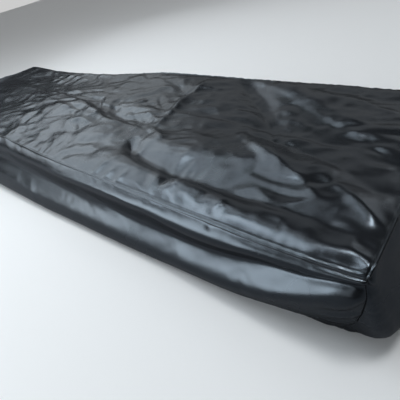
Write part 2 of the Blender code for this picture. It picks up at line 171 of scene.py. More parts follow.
FINE_FOLDS = folds(
    # The sharp back edge of the slack fold
    (-600, 60, -430, 38, -290, 33, 26, 12, 5.0),
    (-300, 34, -220, 28, -150, 14, 20, 11, 5.4),
    (-160, 16, -90, 8, -27, -14, 16, 9, 6.0),
    (-40, -12, 0, -26, 44, -34, 13, 8, 8.0),
    (30, -32, 90, -58, 152, -52, 15, 8, 6.4),
    (150, -51, 215, -46, 300, -82, 16, 9, 4.8),
    # Sharp streaks beside it over the keys
    (-420, 4, -360, -10, -300, -8, 9, 7, 2.4),
    (-340, 14, -280, 2, -200, -4, 10, 6, 2.8),
    (-230, -14, -180, -26, -120, -24, 9, 6, 3.0),
    (-150, -30, -110, -46, -60, -40, 8, 6, 3.2),
    (-92, -22, -60, -36, -20, -34, 6, 7, -4.6),
    (-260, 44, -200, 50, -140, 40, 8, 9, -3.2),
    # A fold beside it, nearer the back
    (-560, 104, -380, 78, -230, 72, 14, 9, 2.6),
    (-250, 74, -150, 66, -60, 50, 12, 7, 2.9),
    (-480, 62, -400, 58, -330, 60, 8, 9, -2.3),
    # Short puckers in the drawn cloth at the back left
    (-430, 172, -426, 150, -420, 118, 6, 8, 2.9),
    (-385, 178, -380, 150, -376, 112, 6, 7, 3.4),
    (-342, 176, -338, 148, -336, 110, 5, 7, 3.1),
    (-300, 172, -297, 146, -292, 116, 6, 8, 2.6),
    (-560, 182, -420, 188, -250, 160, 9, 10, 2.6),
    # Around the pinch
    (-60, 20, -20, 30, 30, 14, 8, 10, 4.4),
    (60, -6, 110, -20, 150, -18, 6, 8, -4.4),
    (90, 26, 150, 22, 206, 26, 6, 8, 3.1),
    (20, 44, 80, 60, 128, 40, 9, 7, -3.1),
    (128, 92, 150, 62, 204, 26, 7, 7, -3.4),
    (118, 4, 170, -26, 236, -48, 7, 7, -4.7),
    (160, 10, 196, -4, 250, -34, 7, 6, 3.1),
    # The hub where the packing creases meet, with small facets round it
    (80, 35, 92, 52, 105, 63, 5, 6, 3.6),
    (105, 63, 150, 46, 216, 12, 10, 6, -3.4),
    (213, 84, 226, 20, 240, -50, 9, 6, 4.6),
    (99, -8, 150, 6, 216, 12, 7, 6, 3.8),
    (151, -40, 190, -40, 262, -76, 6, 7, -5.2),
    (198, -38, 250, -50, 300, -82, 5, 7, 3.2),
    (40, -28, 76, -40, 118, -46, 10, 12, -4.6),
    # Long soft lines in the wide light slope
    (273, -119, 364, -116, 470, -98, 8, 10, 1.8),
    (286, -32, 350, -44, 413, -59, 10, 12, 2.2),
    (418, -2, 470, -20, 560, -30, 8, 6, -3.2),
    # Small dents over the keys
    (-48, -50, -22, -68, 10, -66, 8, 6, -3.6),
    (18, -82, 46, -90, 64, -116, 7, 8, -3.9),
    (-14, -84, 26, -72, 76, -78, 8, 8, 3.1),
    (-220, -60, -170, -84, -110, -78, 12, 10, -2.6),
    (-330, -110, -250, -96, -200, -120, 14, 12, 2.9),
    (-520, -20, -470, -50, -400, -40, 12, 12, 2.9),
    # Streaks that run back from the front seam
    (-22, -196, -24, -184, -20, -160, 6, 8, 0.8),
    (14, -198, 12, -188, 20, -168, 5, 7, 0.8),
    (52, -202, 50, -192, 58, -176, 6, 6, 0.9),
    (96, -206, 96, -196, 104, -178, 6, 7, 0.9),
    (236, -216, 240, -200, 250, -176, 6, 7, 2.3),
    (268, -217, 272, -203, 280, -186, 5, 6, 2.1),
    (300, -218, 304, -204, 312, -184, 5, 7, 2.3),
    # Notches where the light front strip meets the trough
    (395, -158, 396, -178, 391, -198, 8, 6, -5.2),
    (412, -198, 420, -182, 424, -160, 8, 8, 3.4),
    (520, -204, 566, -204, 612, -202, 14, 14, 2.4),
    (500, -212, 508, -198, 512, -178, 6, 7, 2.6),
    (470, -200, 476, -186, 480, -168, 7, 6, -2.6),
    # Lines along the half-fold crease
    (222, 27, 320, 20, 415, 16, 9, 4, 3.4),
    (410, 15, 500, 4, 600, -10, 10, 4, 3.6),
    (330, 4, 350, -24, 352, -50, 10, 8, 2.3),
    # The thin ridge of the cross crease
    (214, 20, 214, 100, 208, 196, 5, 5, 2.6),
    (262, 60, 268, 110, 262, 160, 12, 10, 1.8),
    # Crests and dents beside the long diagonals
    (322, 214, 400, 172, 478, 122, 7, 12, 3.1),
    (474, 124, 560, 66, 684, -14, 8, 14, 3.1),
    (284, 210, 350, 148, 420, 82, 9, 8, -2.9),
    (400, 98, 440, 62, 486, 4, 8, 7, -4.7),
    (430, -20, 480, -60, 540, -84, 5, 8, 3.1),
    (538, -84, 590, -108, 622, -136, 6, 8, 2.9),
    (602, -88, 650, -112, 694, -148, 6, 8, 3.1),
    (620, 40, 640, 4, 690, -40, 12, 10, -3.1),
    (560, 150, 620, 120, 690, 96, 14, 12, 2.6),
    (520, -24, 580, -40, 650, -76, 10, 10, -2.9),
    # Lower valley's hook
    (233, -104, 238, -128, 268, -138, 8, 8, -6.0),
    (268, -138, 330, -158, 430, -158, 8, 10, -4.7),
    (420, -158, 500, -166, 596, -163, 8, 10, -3.1),
    # The front right corner is tucked in along its seam
    (650, -214, 680, -216, 706, -214, 3, 5, -1.8),
    (640, -204, 676, -206, 702, -202, 8, 8, 1.8),
)
SKIRT_FOLDS = {
    "front": folds(
        # The crease under the shoulder
        (-620, -26, -380, -40, -150, -31, 9, 8, 1.4),
        (-150, -31, 60, -28, 200, -22, 8, 7, 1.4),
        (200, -22, 330, -14, 420, -30, 7, 6, 1.5),
        (410, -28, 490, -48, 560, -30, 7, 6, 1.6),
        (550, -31, 640, -20, 706, -13, 6, 5, 1.6),
        # The edge where the cloth turns out to its lower bulge
        (-560, -66, -380, -50, -210, -58, 10, 14, -1.6),
        (-60, -60, 60, -84, 180, -78, 9, 14, -1.8),
        (140, -48, 220, -86, 330, -84, 8, 12, -2.2),
        (320, -84, 430, -86, 510, -70, 8, 10, -2.2),
        (500, -71, 590, -56, 650, -34, 6, 8, -2.2),
        (640, -36, 690, -20, 708, -12, 5, 5, -2.4),
        # Gathers that spread from the corner
        (560, -62, 640, -50, 706, -18, 12, 9, 2.0),
        (664, -72, 692, -52, 706, -22, 6, 5, 2.4),
        (672, -84, 696, -66, 708, -40, 5, 6, -2.4),
        (640, -104, 684, -92, 707, -62, 8, 6, 2.6),
        (664, -116, 694, -96, 708, -74, 6, 6, -2.6),
        (600, -132, 668, -126, 707, -98, 10, 7, 2.2),
        (640, -146, 684, -138, 706, -122, 7, 6, -2.0),
        # Soft swells down the cloth
        (-470, -50, -440, -100, -450, -150, 30, 26, 2.4),
        (-320, -60, -300, -100, -310, -150, 26, 30, -2.0),
        (-60, -90, -46, -120, -50, -156, 26, 22, 1.6),
        (420, -96, 436, -120, 430, -150, 30, 26, 1.6),
        (540, -84, 556, -110, 560, -146, 20, 24, -1.6),
    ),
    "right": folds(
        (-212, -18, -180, -70, -172, -148, 16, 22, 3.2),
        (-206, -10, -140, -40, -90, -130, 12, 16, -2.6),
        (-210, -60, -196, -100, -190, -150, 8, 9, 2.2),
        (-30, -24, -10, -80, -24, -150, 30, 26, 3.0),
        (60, -30, 84, -90, 76, -150, 18, 22, -2.6),
        (206, -16, 160, -46, 120, -120, 14, 12, 3.0),
        (212, -40, 196, -90, 186, -150, 9, 10, -2.2),
    ),
    "back": folds(
        (-690, -18, -560, -56, -380, -74, 14, 12, 3.2),
        (-700, -40, -600, -96, -460, -126, 10, 12, -2.6),
        (-420, -40, -400, -90, -410, -152, 24, 30, 2.6),
        (-260, -60, -100, -78, 80, -66, 12, 16, -2.4),
        (-140, -90, -120, -120, -130, -154, 22, 26, 2.2),
        (60, -60, 90, -110, 84, -154, 22, 20, 2.4),
        (180, -50, 330, -82, 500, -70, 14, 12, -2.6),
        (340, -30, 352, -90, 344, -150, 22, 26, 2.4),
        (700, -20, 580, -60, 470, -120, 12, 14, 3.2),
        (704, -60, 640, -104, 590, -150, 9, 10, -2.4),
    ),
    "left": folds(
        (212, -18, 170, -70, 150, -150, 16, 14, 3.0),
        (150, -24, 90, -80, 96, -150, 22, 26, -2.6),
        (0, -20, 24, -80, 10, -150, 26, 30, 3.0),
        (-90, -30, -76, -90, -86, -150, 20, 18, -2.4),
        (-210, -20, -176, -80, -164, -150, 14, 16, 3.0),
    ),
}
# Places on the front skirt's seam where the cloth is nipped into a small pleat
FRONT_NIPS = folds(*((at, -1, at + 2, -5, at + 6, -12, 3, 4, -1.0)
                     for at in (-498, -262, -60, 131, 248, 379, 504, 643)))

# The sewn line along each side of the top, in millimetres. The furrow lies "at" this far
# inside the edge, and where the seam stands up its lip has a height. The skirt starts a step
# below the top.
Seam = namedtuple("Seam", "at furrow_width furrow_depth lip_width lip_height pucker step")
SEAMS = {"front": Seam(3.2, 1.3, 0.5, 1.8, 0.7, 0.35, 3.0),
         "back": Seam(1.6, 1.6, 1.4, 1.4, 0.7, 0.7, 1.0),
         "right": Seam(2.6, 1.1, 1.2, 1.3, 0.9, 0.4, 0.8),
         "left": Seam(2.6, 1.2, 1.2, 1.4, 1.0, 0.6, 0.8)}
SEAM_REACH = 45 * MM
# How far down a skirt its seam's step and the shape of its furrow last
STEP_REACH = 9 * MM
FURROW_REACH = 1.3 * MM

# Puckers beside a row of stitches: their size along and across it, and how far they last
PUCKER_PITCH = 8.0 * MM
PUCKER_LENGTH = 26 * MM
PUCKER_REACH = 12 * MM
CORNER_PUCKER = 0.7
HEM_PUCKER = 0.6
CORNER_FURROW_WIDTH = 1.5 * MM
CORNER_FURROW_DEPTH = 1.1 * MM

# The hem is turned in once and stitched this far above its edge
HEM = 14.0 * MM
HEM_FURROW_DEPTH = 0.8 * MM
HEM_FURROW_WIDTH = 1.6 * MM
HEM_GAP = 1.2 * MM

# Rows near a skirt's seam, measured down from it, and near its hem, measured up from the edge
SKIRT_NEAR = np.array((0.0, 0.7, 1.4, 2.2, 3.2, 4.6, 6.6, 9.4)) * MM
SKIRT_FAR = np.array((20.0, 17.4, 15.8, 14.8, 14.0, 13.2, 12.2, 10.4, 7.0, 3.5, 1.4, 0.6, 0.0)) * MM
SKIRT_ROWS = 52
# Columns round half a corner: 0 where it leaves the straight, 1 at the upright seam
SKIRT_CORNER = (0.12, 0.25, 0.38, 0.5, 0.62, 0.72, 0.81, 0.88, 0.93, 0.96, 0.98, 1.0)
TOP_CORNER = (0.34, 0.67, 1.0)

# Panels and the order in which the skirts follow one another around the cover
SIDE_ORDER = ("front", "right", "back", "left")
OUTWARD = {"front": np.array((0.0, -1.0)), "right": np.array((1.0, 0.0)),
           "back": np.array((0.0, 1.0)), "left": np.array((-1.0, 0.0))}
ONWARD = {"front": np.array((1.0, 0.0)), "right": np.array((0.0, 1.0)),
          "back": np.array((-1.0, 0.0)), "left": np.array((0.0, -1.0))}

# One row for each layer of crumple in the cloth: the size of its dents along X, Y and Z, and
# its height on the top and on the skirts, in millimetres. Ridged layers have sharp crests, or
# sharp troughs where the height is negative.
Crumple = namedtuple("Crumple", "size_x size_y size_z on_top on_skirt ridged")
CRUMPLES = (
    Crumple(210, 100, 100, 2.4, 1.4, False),
    Crumple(90, 54, 60, -2.8, -0.45, True),
    Crumple(46, 30, 34, 1.8, 0.22, True),
    Crumple(22, 17, 20, -0.4, -0.08, True),
)
# The crests wander by up to this much, over this far
DRIFT = np.array((0.05, 0.03, 0.03))
DRIFT_SIZE = (0.12, 0.12, 0.12)
# How round a ridged layer's crests are, and how much calmer the cloth lies at the left end
CREST_ROUNDNESS = 0.0022
LEFT_CALM = 0.35
# Width of a crease's crown
CROWN = 1.6 * MM


def smooth_step(t):
    t = np.clip(t, 0.0, 1.0)
    return t * t * (3.0 - 2.0 * t)


def unit(vectors):
    return vectors / np.maximum(np.linalg.norm(vectors, axis=-1, keepdims=True), 1e-12)


def hump(distance, width):
    return np.exp(-(distance / width) ** 2)


def crest(distance, width):
    """A hump with a narrow crown, as a crease has."""
    return np.exp((CROWN - np.sqrt(distance**2 + CROWN**2)) / width)


def between(t, span, value, slope, next_value, next_slope):
    """A smooth curve from one value to the next, with their slopes, read at t from 0 to 1."""
    return ((2 * t**3 - 3 * t**2 + 1) * value + (t**3 - 2 * t**2 + t) * span * slope
            + (3 * t**2 - 2 * t**3) * next_value + (t**3 - t**2) * span * next_slope)


def gentle_slopes(places, values):
    """Slopes through a row of values that never overshoot between them."""
    rises = np.diff(values) / np.diff(places)
    before, after = rises[:-1], rises[1:]
    same_way = before * after > 0
    total = np.where(same_way, before + after, 1.0)
    slopes = np.zeros_like(values)
    slopes[1:-1] = np.where(same_way, 2 * before * after / total, 0.0)
    return slopes


def noise_over(points, sizes, seed_shift):
    """Smooth noise from -1 to 1 at points, with dents of the given sizes."""
    scaled = points.reshape(-1, points.shape[-1]) / np.array(sizes) + seed_shift
    values = np.array([noise.noise(Vector(point)) for point in scaled])
    return values.reshape(points.shape[:-1])


def crumple_height(points, on_top):
    """The uneven lie of the cloth between its folds."""
    height = np.zeros(points.shape[:-1])
    drift = noise_over(points, DRIFT_SIZE, 31.7)[..., None] * DRIFT
    for number, layer in enumerate(CRUMPLES):
        sizes = np.array((layer.size_x, layer.size_y, layer.size_z)) * MM
        values = noise_over(points + drift, sizes, 7.3 * (number + 1))
        if layer.ridged:
            values = 0.5 - 2.0 * np.sqrt(values**2 + CREST_ROUNDNESS)
        height += values * (layer.on_top if on_top else layer.on_skirt) * MM
    return height


def fold_over(u, v, rows, profile, steps=20):
    """The sum of the folds' heights: each is a hump or trough across its own path."""
    height = np.zeros_like(u)
    t = np.linspace(0.0, 1.0, steps + 1)[:, None]
    for fold in rows:
        start = np.array((fold.start_u, fold.start_v)) * MM
        bend = np.array((fold.bend_u, fold.bend_v)) * MM
        end = np.array((fold.end_u, fold.end_v)) * MM
        path = (1 - t) ** 2 * start + 2 * t * (1 - t) * bend + t**2 * end
        reach = 5 * max(fold.near_width, fold.far_width) * MM
        low, high = path.min(axis=0) - reach, path.max(axis=0) + reach
        near = (u > low[0]) & (u < high[0]) & (v > low[1]) & (v < high[1])
        at_u, at_v = u[near], v[near]
        nearest = np.full(at_u.shape, 9.0)
        side, reached = np.zeros_like(at_u), np.zeros_like(at_u)
        for step in range(steps):
            run = path[step + 1] - path[step]
            from_u, from_v = at_u - path[step][0], at_v - path[step][1]
            part = np.clip((from_u * run[0] + from_v * run[1]) / run.dot(run), 0.0, 1.0)
            distance = np.hypot(from_u - part * run[0], from_v - part * run[1])
            closer = distance < nearest
            nearest = np.where(closer, distance, nearest)
            side = np.where(closer, run[0] * from_v - run[1] * from_u, side)
            reached = np.where(closer, (step + part) / steps, reached)
        width = np.where(side > 0, fold.far_width, fold.near_width) * MM
        ends = 0.15 + 0.85 * np.sin(np.pi * reached) ** 0.6
        height[near] += fold.height * MM * profile(nearest, width) * ends
    return height


def pucker_height(place, inside, height):
    """The drawn cloth beside a row of stitches, waves that die out away from it."""
    points = np.stack((place / PUCKER_PITCH, inside / PUCKER_LENGTH, place / (90 * MM)), axis=-1)
    waves = noise_over(points, (1.0, 1.0, 1.0), 0.5)
    return height * MM * 1.7 * waves * np.exp(-np.maximum(inside, 0.0) / PUCKER_REACH)


class CoverForm:
    """The surface of the cover, worked out from its sizes and the tables above."""

    def __init__(self, sizes):
        self.sizes = sizes
        length, depth = sizes.length, sizes.depth
        self.side_length = {"front": length, "right": depth, "back": length, "left": depth}
        self.side_start = {"front": 0.0, "right": length, "back": length + depth,
                           "left": 2 * length + depth}
        self.loop_length = 2 * (length + depth)
        self.half_depth = {"front": depth / 2, "back": depth / 2,
                           "right": length / 2, "left": length / 2}
        places = np.array([self.section_place(section) for section in SECTIONS])
        self.places = np.concatenate((places - self.loop_length, places, places + self.loop_length))

    def section_place(self, section):
        """Where a section lies along the loop of the four sides, from the front left corner."""
        along = section.at * MM * ONWARD[section.side].sum()
        return self.side_start[section.side] + self.side_length[section.side] / 2 + along

    def around(self, column, place):
        """A column of SECTIONS read at places on the loop, as a smooth curve through its rows."""
        values = np.tile(np.array([getattr(section, column) for section in SECTIONS]) * MM, 3)
        places, slopes = self.places, gentle_slopes(self.places, values)
        place = np.mod(place, self.loop_length)
        row = np.clip(np.searchsorted(places, place, side="right") - 1, 0, len(places) - 2)
        span = places[row + 1] - places[row]
        t = (place - places[row]) / span
        return between(t, span, values[row], slopes[row], values[row + 1], slopes[row + 1])

    def level_points(self, level, side, stations):
        """Points of one level of a skirt, with their place on the loop as a fourth number.
        A station is -2 to -1 in the first half corner, -1 to 1 along the straight and 1 to 2
        in the second half corner."""
        radius = CORNER_RADIUS[level]
        half, other = self.side_length[side] / 2, self.half_depth[side]
        turn = np.maximum(np.abs(stations) - 1.0, 0.0) * np.sign(stations) * math.pi / 4
        outward = (OUTWARD[side] * np.cos(turn)[:, None] + ONWARD[side] * np.sin(turn)[:, None])
        along = np.clip(stations, -1.0, 1.0) * (half - radius)
        place = self.side_start[side] + half + along + radius * turn / (math.pi / 4)
        plan = ONWARD[side] * along[:, None] + OUTWARD[side] * (other - radius) + outward * radius
        plan = plan + outward * self.around(level + "_out", place)[:, None]
        return np.column_stack((plan, -self.around(level + "_drop", place), place))

    def from_sides(self, x, y):
        """For each side, the place on the loop nearest to x, y and how far inside its seam."""
        for side in ("front", "back", "right", "left"):
            along = x * ONWARD[side][0] + y * ONWARD[side][1]
            out = x * OUTWARD[side][0] + y * OUTWARD[side][1]
            half = self.side_length[side] / 2
            place = self.side_start[side] + half + np.clip(along, -half, half)
            yield side, place, self.half_depth[side] + self.around("seam_out", place) - out

    def border_roll(self, x, y):
        """How the top bends from its flat to the seam heights along its four sides."""
        depth, free = np.zeros_like(x), np.ones_like(x)
        for side, place, inside in self.from_sides(x, y):
            bend = np.clip(1.0 - inside / self.around("roll", place), 0.0, 1.0) ** 2
            # The long sides' rolls go before those of the ends, which take what is left
            depth += self.around("seam_drop", place) * bend * free
            free = free * (1.0 - bend)
        return -depth

    def seam_relief(self, x, y):
        """The sewn line's furrow and lip along the border, and the puckers beside it."""
        height = np.zeros_like(x)
        for side, place, inside in self.from_sides(x, y):
            seam, near = SEAMS[side], inside < SEAM_REACH
            off = inside[near]
            height[near] += (seam.lip_height * MM * hump(off, seam.lip_width * MM)
                             - seam.furrow_depth * MM * hump(off - seam.at * MM, seam.furrow_width * MM)
                             + pucker_height(place[near], off, seam.pucker))
        return height

    def edge_distance(self, x, y):
        return np.minimum(self.sizes.length / 2 - np.abs(x), self.sizes.depth / 2 - np.abs(y))

    def top_height(self, x, y):
        """Height of the top panel over any place inside its outline, without its seams."""
        edge = self.edge_distance(x, y)
        points = np.stack((x, y, np.zeros_like(x)), axis=-1)
        calm = 1.0 - LEFT_CALM * smooth_step(-x / self.sizes.length * 2.4)
        return (self.border_roll(x, y)
                + fold_over(x, y, MAIN_FOLDS, hump) * smooth_step(edge / (22 * MM))
                + fold_over(x, y, FINE_FOLDS, crest) * smooth_step(edge / (12 * MM))
                + crumple_height(points, True) * (0.25 + 0.75 * smooth_step(edge / (30 * MM))) * calm)


def graded(length, pitch, bias, fine=(0.7, 1.4, 2.2, 3.2, 4.6, 6.6)):
    """Places from 0 to length, close together near both ends. A bias above 0 also sets those
    between them closer towards the far end."""
    near = [0.0] + [step * MM for step in fine]
    count = max(2, round((length - 2 * near[-1]) / pitch))
    t = np.linspace(0.0, 1.0, count + 1)
    middle = near[-1] + (length - 2 * near[-1]) * (t + bias * t * (1 - t))
    far = [length - step for step in near[:-1]]
    return np.concatenate((near[:-1], middle, far[::-1]))


def side_stations(form, side, pitch, corner):
    """The stations of one side. They are closer at the right end, which has more creases."""
    straight = form.side_length[side] - 2 * CORNER_RADIUS["seam"]
    bias = {"front": 0.3, "back": -0.3}.get(side, 0.0)
    middle = graded(straight, pitch, bias) / straight * 2 - 1
    corner = 1 + np.array(corner)
    return np.concatenate((-corner[::-1], middle, corner))


def smooth_column(column, wanted):
    """A cross-section's levels joined by a smooth curve, and read at distances along it."""
    reach = np.concatenate(([0.0], np.cumsum(np.linalg.norm(np.diff(column[:, :3], axis=0), axis=1))))
    slopes = np.gradient(column, reach, axis=0)
    t = np.linspace(0.0, 1.0, 25)[:-1, None]
    parts = []
    for part, span in enumerate(np.diff(reach)):
        parts.append(between(t, span, column[part], slopes[part], column[part + 1], slopes[part + 1]))
    curve = np.concatenate(parts + [column[-1:]])
    run = np.concatenate(([0.0], np.cumsum(np.linalg.norm(np.diff(curve[:, :3], axis=0), axis=1))))
    places = wanted(run[-1])
    return np.column_stack([np.interp(places, run, curve[:, axis]) for axis in range(4)]), places


def skirt_rows(cloth_drop):
    """Distances down a skirt's cloth, close together at its seam and at its hem."""
    middle = np.linspace(SKIRT_NEAR[-1], cloth_drop - SKIRT_FAR[0], SKIRT_ROWS + 1)
    return np.concatenate((SKIRT_NEAR[:-1], middle, cloth_drop - SKIRT_FAR[1:]))


def surface_normals(grid):
    return unit(np.cross(np.gradient(grid, axis=0), np.gradient(grid, axis=1)))


def skirt_surface(form, side):
    """One skirt's outer face: points (rows, columns, 3), their place on the loop, their
    distance down the cloth and their normals."""
    stations = side_stations(form, side, form.sizes.pitch, SKIRT_CORNER)
    levels = [form.level_points(level, side, stations) for level in LEVELS]
    seam = levels[0]
    seam[:, 2] = form.top_height(seam[:, 0], seam[:, 1])
    seam_relief = form.seam_relief(seam[:, 0], seam[:, 1])
    columns = [smooth_column(column, skirt_rows) for column in np.array(levels).transpose(1, 0, 2)]
    points = np.array([column for column, _ in columns]).transpose(1, 0, 2)
    drops = np.array([places for _, places in columns]).T
    grid, place = points[..., :3], points[..., 3]
    normals = surface_normals(grid)

    u = place - form.side_start[side] - form.side_length[side] / 2
    relief = fold_over(u, -drops, SKIRT_FOLDS[side], crest) + crumple_height(grid, False)
    if side == "front":
        relief += fold_over(u, -drops, FRONT_NIPS, crest)
    relief += pucker_height(place, drops, SEAMS[side].pucker * 0.5)

    # The upright seams in the middle of the corners
    from_corner = form.side_length[side] / 2 - np.abs(u)
    corner = np.where(u > 0, SIDE_ORDER.index(side) + 1, SIDE_ORDER.index(side)) % 4
    relief += pucker_height(drops + corner * 1.0, from_corner, CORNER_PUCKER)
    relief -= CORNER_FURROW_DEPTH * hump(from_corner, CORNER_FURROW_WIDTH)

    # The hem's stitched line, and the puckers on both sides of it
    from_hem = drops[-1] - drops
    relief -= HEM_FURROW_DEPTH * hump(from_hem - HEM, HEM_FURROW_WIDTH)
    relief += pucker_height(place + 2.0, np.abs(from_hem - HEM), HEM_PUCKER)

    grid = grid + normals * (relief * smooth_step(drops / (5 * MM)))[..., None]
    # Under the seam the skirt follows its furrow and drops by its step, and further down no longer
    step = SEAMS[side].step * MM
    grid[..., 2] += seam_relief * np.exp(-drops / FURROW_REACH)
    grid[..., 2] -= step * smooth_step(drops / (1.0 * MM)) * np.exp(-drops / STEP_REACH)
    return grid, place, drops, surface_normals(grid)


def turn_hem(grid, drops, normals):
    """Rows that take the cloth round the hem's edge and back up inside to the stitched line."""
    down = unit(grid[-1] - grid[-2])
    around = grid[-1] + down * HEM_GAP * 0.45 - normals[-1] * HEM_GAP / 2
    rows, reached = [around], [drops[-1] + HEM_GAP]
    for back in range(1, len(SKIRT_FAR) + 1):
        from_edge = drops[-1][0] - drops[-1 - back][0]
        if 1.2 * MM < from_edge < HEM + 0.5 * MM:
            rows.append(grid[-1 - back] - normals[-1 - back] * HEM_GAP)
            reached.append(drops[-1] + HEM_GAP + from_edge)
    return np.concatenate((grid, rows)), np.concatenate((drops, reached))


def build_mesh(name, grid, cut, material):
    """A sheet from a grid of points. cut holds each point's place on the flat cloth."""
    rows, columns = grid.shape[:2]
    index = np.arange(rows * columns).reshape(rows, columns)
    corners = (index[:-1, :-1], index[1:, :-1], index[1:, 1:], index[:-1, 1:])
    faces = np.stack(corners, axis=-1).reshape(-1, 4)
    mesh = bpy.data.meshes.new(name)
    mesh.from_pydata(grid.reshape(-1, 3).tolist(), [], faces.tolist())
    mesh.shade_smooth()
    layer = mesh.uv_layers.new(name="Cut")
    flat = cut.reshape(-1, 2)[faces.ravel()]
    layer.uv.foreach_set("vector", flat.astype(np.float32).ravel())
    piece = bpy.data.objects.new(name, mesh)
    bpy.context.scene.collection.objects.link(piece)
    mesh.materials.append(material)
    return piece


def thicken(piece, thickness):
    solid = piece.modifiers.new("Cloth thickness", "SOLIDIFY")
    solid.thickness = thickness
    solid.offset = 0.0
    return piece


# Materials

def add_node(tree, kind, settings=None, links=None):
    """Adds a shader node, sets its inputs or properties by name, and links its inputs."""
    node = tree.nodes.new("ShaderNode" + kind)
    for name, value in (settings or {}).items():
        if hasattr(node, name):
            setattr(node, name, value)
        else:
            node.inputs[name].default_value = value
    for name, source in (links or {}).items():
        tree.links.new(source, node.inputs[name])
    return node


def blank_material(name):
    material = bpy.data.materials.new(name)
    material.use_nodes = True
    material.node_tree.nodes.clear()
    return material, material.node_tree


def mixed_colour(tree, factor, first, second):
    """Output of a mix of two colours by a factor."""
    tone = add_node(tree, "Mix", {"data_type": "RGBA"}, {"Factor": factor})
    tone.inputs[6].default_value = (*first, 1.0)
    tone.inputs[7].default_value = (*second, 1.0)
    return tone.outputs[2]


def woven_coated_nylon(name, colours):
    """Nylon taffeta with a polyurethane coating, woven and calendered: a satin sheen that
    breaks up on fine creases, near black where no light falls on it."""
    material, tree = blank_material(name)
    place = add_node(tree, "TexCoord")
    # Wear comes in patches about 160 mm wide
    wide = add_node(tree, "TexNoise",
                    {"Scale": 1 / (160 * MM), "Detail": 4.0, "Roughness": 0.6},
                    {"Vector": place.outputs["Object"]})
    tone = mixed_colour(tree, wide.outputs["Fac"], colours.cloth, colours.worn_cloth)
    rough = add_node(tree, "MapRange",
                     {"From Min": 0.3, "From Max": 0.7, "To Min": 0.21, "To Max": 0.29},
                     {"Value": wide.outputs["Fac"]})

    # The fine crazing of creases that the coating keeps, 26 mm apart and less
    crease = add_node(tree, "TexNoise",
                      {"noise_type": "RIDGED_MULTIFRACTAL", "Scale": 1 / (26 * MM), "Detail": 3.0,
                       "Roughness": 0.5, "Lacunarity": 2.3}, {"Vector": place.outputs["Object"]})
    crease_bump = add_node(tree, "Bump", {"Strength": 0.7, "Distance": 0.6 * MM},
                           {"Height": crease.outputs["Fac"]})
    # Plain weave. The real threads are 0.25 mm apart, too fine to show, and are drawn 4 times that
    cut = add_node(tree, "UVMap", {"uv_map": "Cut"})
    wave_scale = math.pi / 10 / (1.0 * MM)
    weave = add_node(tree, "Math", {"operation": "MULTIPLY"})
    for number, direction in enumerate("XY"):
        threads = add_node(tree, "TexWave",
                           {"bands_direction": direction, "Scale": wave_scale, "Distortion": 0.0},
                           {"Vector": cut.outputs["UV"]})
        tree.links.new(threads.outputs["Fac"], weave.inputs[number])
    weave_bump = add_node(tree, "Bump", {"Strength": 0.35, "Distance": 0.08 * MM},
                          {"Height": weave.outputs["Value"], "Normal": crease_bump.outputs["Normal"]})
    shader = add_node(tree, "BsdfPrincipled",
                      {"IOR": 1.53, "Metallic": 0.0, "Specular IOR Level": 1.0,
                       "Specular Tint": (0.74, 0.87, 1.0, 1.0)},
                      {"Base Color": tone, "Roughness": rough.outputs["Result"],
                       "Normal": weave_bump.outputs["Normal"]})
    add_node(tree, "OutputMaterial", {}, {"Surface": shader.outputs["BSDF"]})
    return material


def twisted_polyester(name, colours):
    """Spun polyester sewing thread, three plies twisted together: matt, with slanting ribs."""
    material, tree = blank_material(name)
    place = add_node(tree, "TexCoord")
    # The plies are 0.35 mm apart along the thread, and its fluff varies over 2 mm
    plies = add_node(tree, "TexWave",
                     {"bands_direction": "DIAGONAL", "Scale": math.pi / 10 / (0.35 * MM),
                      "Distortion": 0.4},
                     {"Vector": place.outputs["Object"]})
    bump = add_node(tree, "Bump", {"Strength": 0.6, "Distance": 0.08 * MM},
                    {"Height": plies.outputs["Fac"]})
    fluff = add_node(tree, "TexNoise", {"Scale": 1 / (2 * MM)},
                     {"Vector": place.outputs["Object"]})
    tone = mixed_colour(tree, fluff.outputs["Fac"], colours.thread, colours.worn_cloth)
    shader = add_node(tree, "BsdfPrincipled", {"IOR": 1.57, "Roughness": 0.62},
                      {"Base Color": tone, "Normal": bump.outputs["Normal"]})
    add_node(tree, "OutputMaterial", {}, {"Surface": shader.outputs["BSDF"]})
    return material


def matt_painted_floor(name, colours):
    """Matt painted studio board: even and pale to the camera. Every other ray sees it darker,
    a painted shade in the floor's reflection in the glossy cloth and in the light that it bounces."""
    material, tree = blank_material(name)
    seen = add_node(tree, "LightPath")
    # Painted shade in reflections: the camera sees the pale floor colour, reflections and bounced light
    # see the darker one
    tone = mixed_colour(tree, seen.outputs["Is Camera Ray"], colours.painted_dark_floor_reflection, colours.floor)
    shader = add_node(tree, "BsdfPrincipled", {"Roughness": 0.9}, {"Base Color": tone})
    add_node(tree, "OutputMaterial", {}, {"Surface": shader.outputs["BSDF"]})
    return material


# Settings

class CoverSizes(bpy.types.PropertyGroup):
    """Sizes of the sewn cover"""
    length: FloatProperty(name="Length", description="Length of the top at its seams",
        default=1.420, unit="LENGTH")
    depth: FloatProperty(name="Depth", description="Depth of the top at its seams",
        default=0.444, unit="LENGTH")
    cloth: FloatProperty(name="Cloth thickness", description="Thickness of the coated nylon",
        default=0.0004, unit="LENGTH")
    pitch: FloatProperty(name="Grid pitch", description="Spacing of the sheet's points",
        default=0.0044, unit="LENGTH")
    skirt_cut: FloatProperty(name="Skirt cut", description="Height to which the skirts' cloth is cut",
        default=0.212, unit="LENGTH")
    stitch: FloatProperty(name="Stitch length", description="Length of one stitch with its gap",
        default=0.0034, unit="LENGTH")
    thread: FloatProperty(name="Thread width", default=0.0006, unit="LENGTH",
        description="Width of the sewing thread, drawn a little thick")


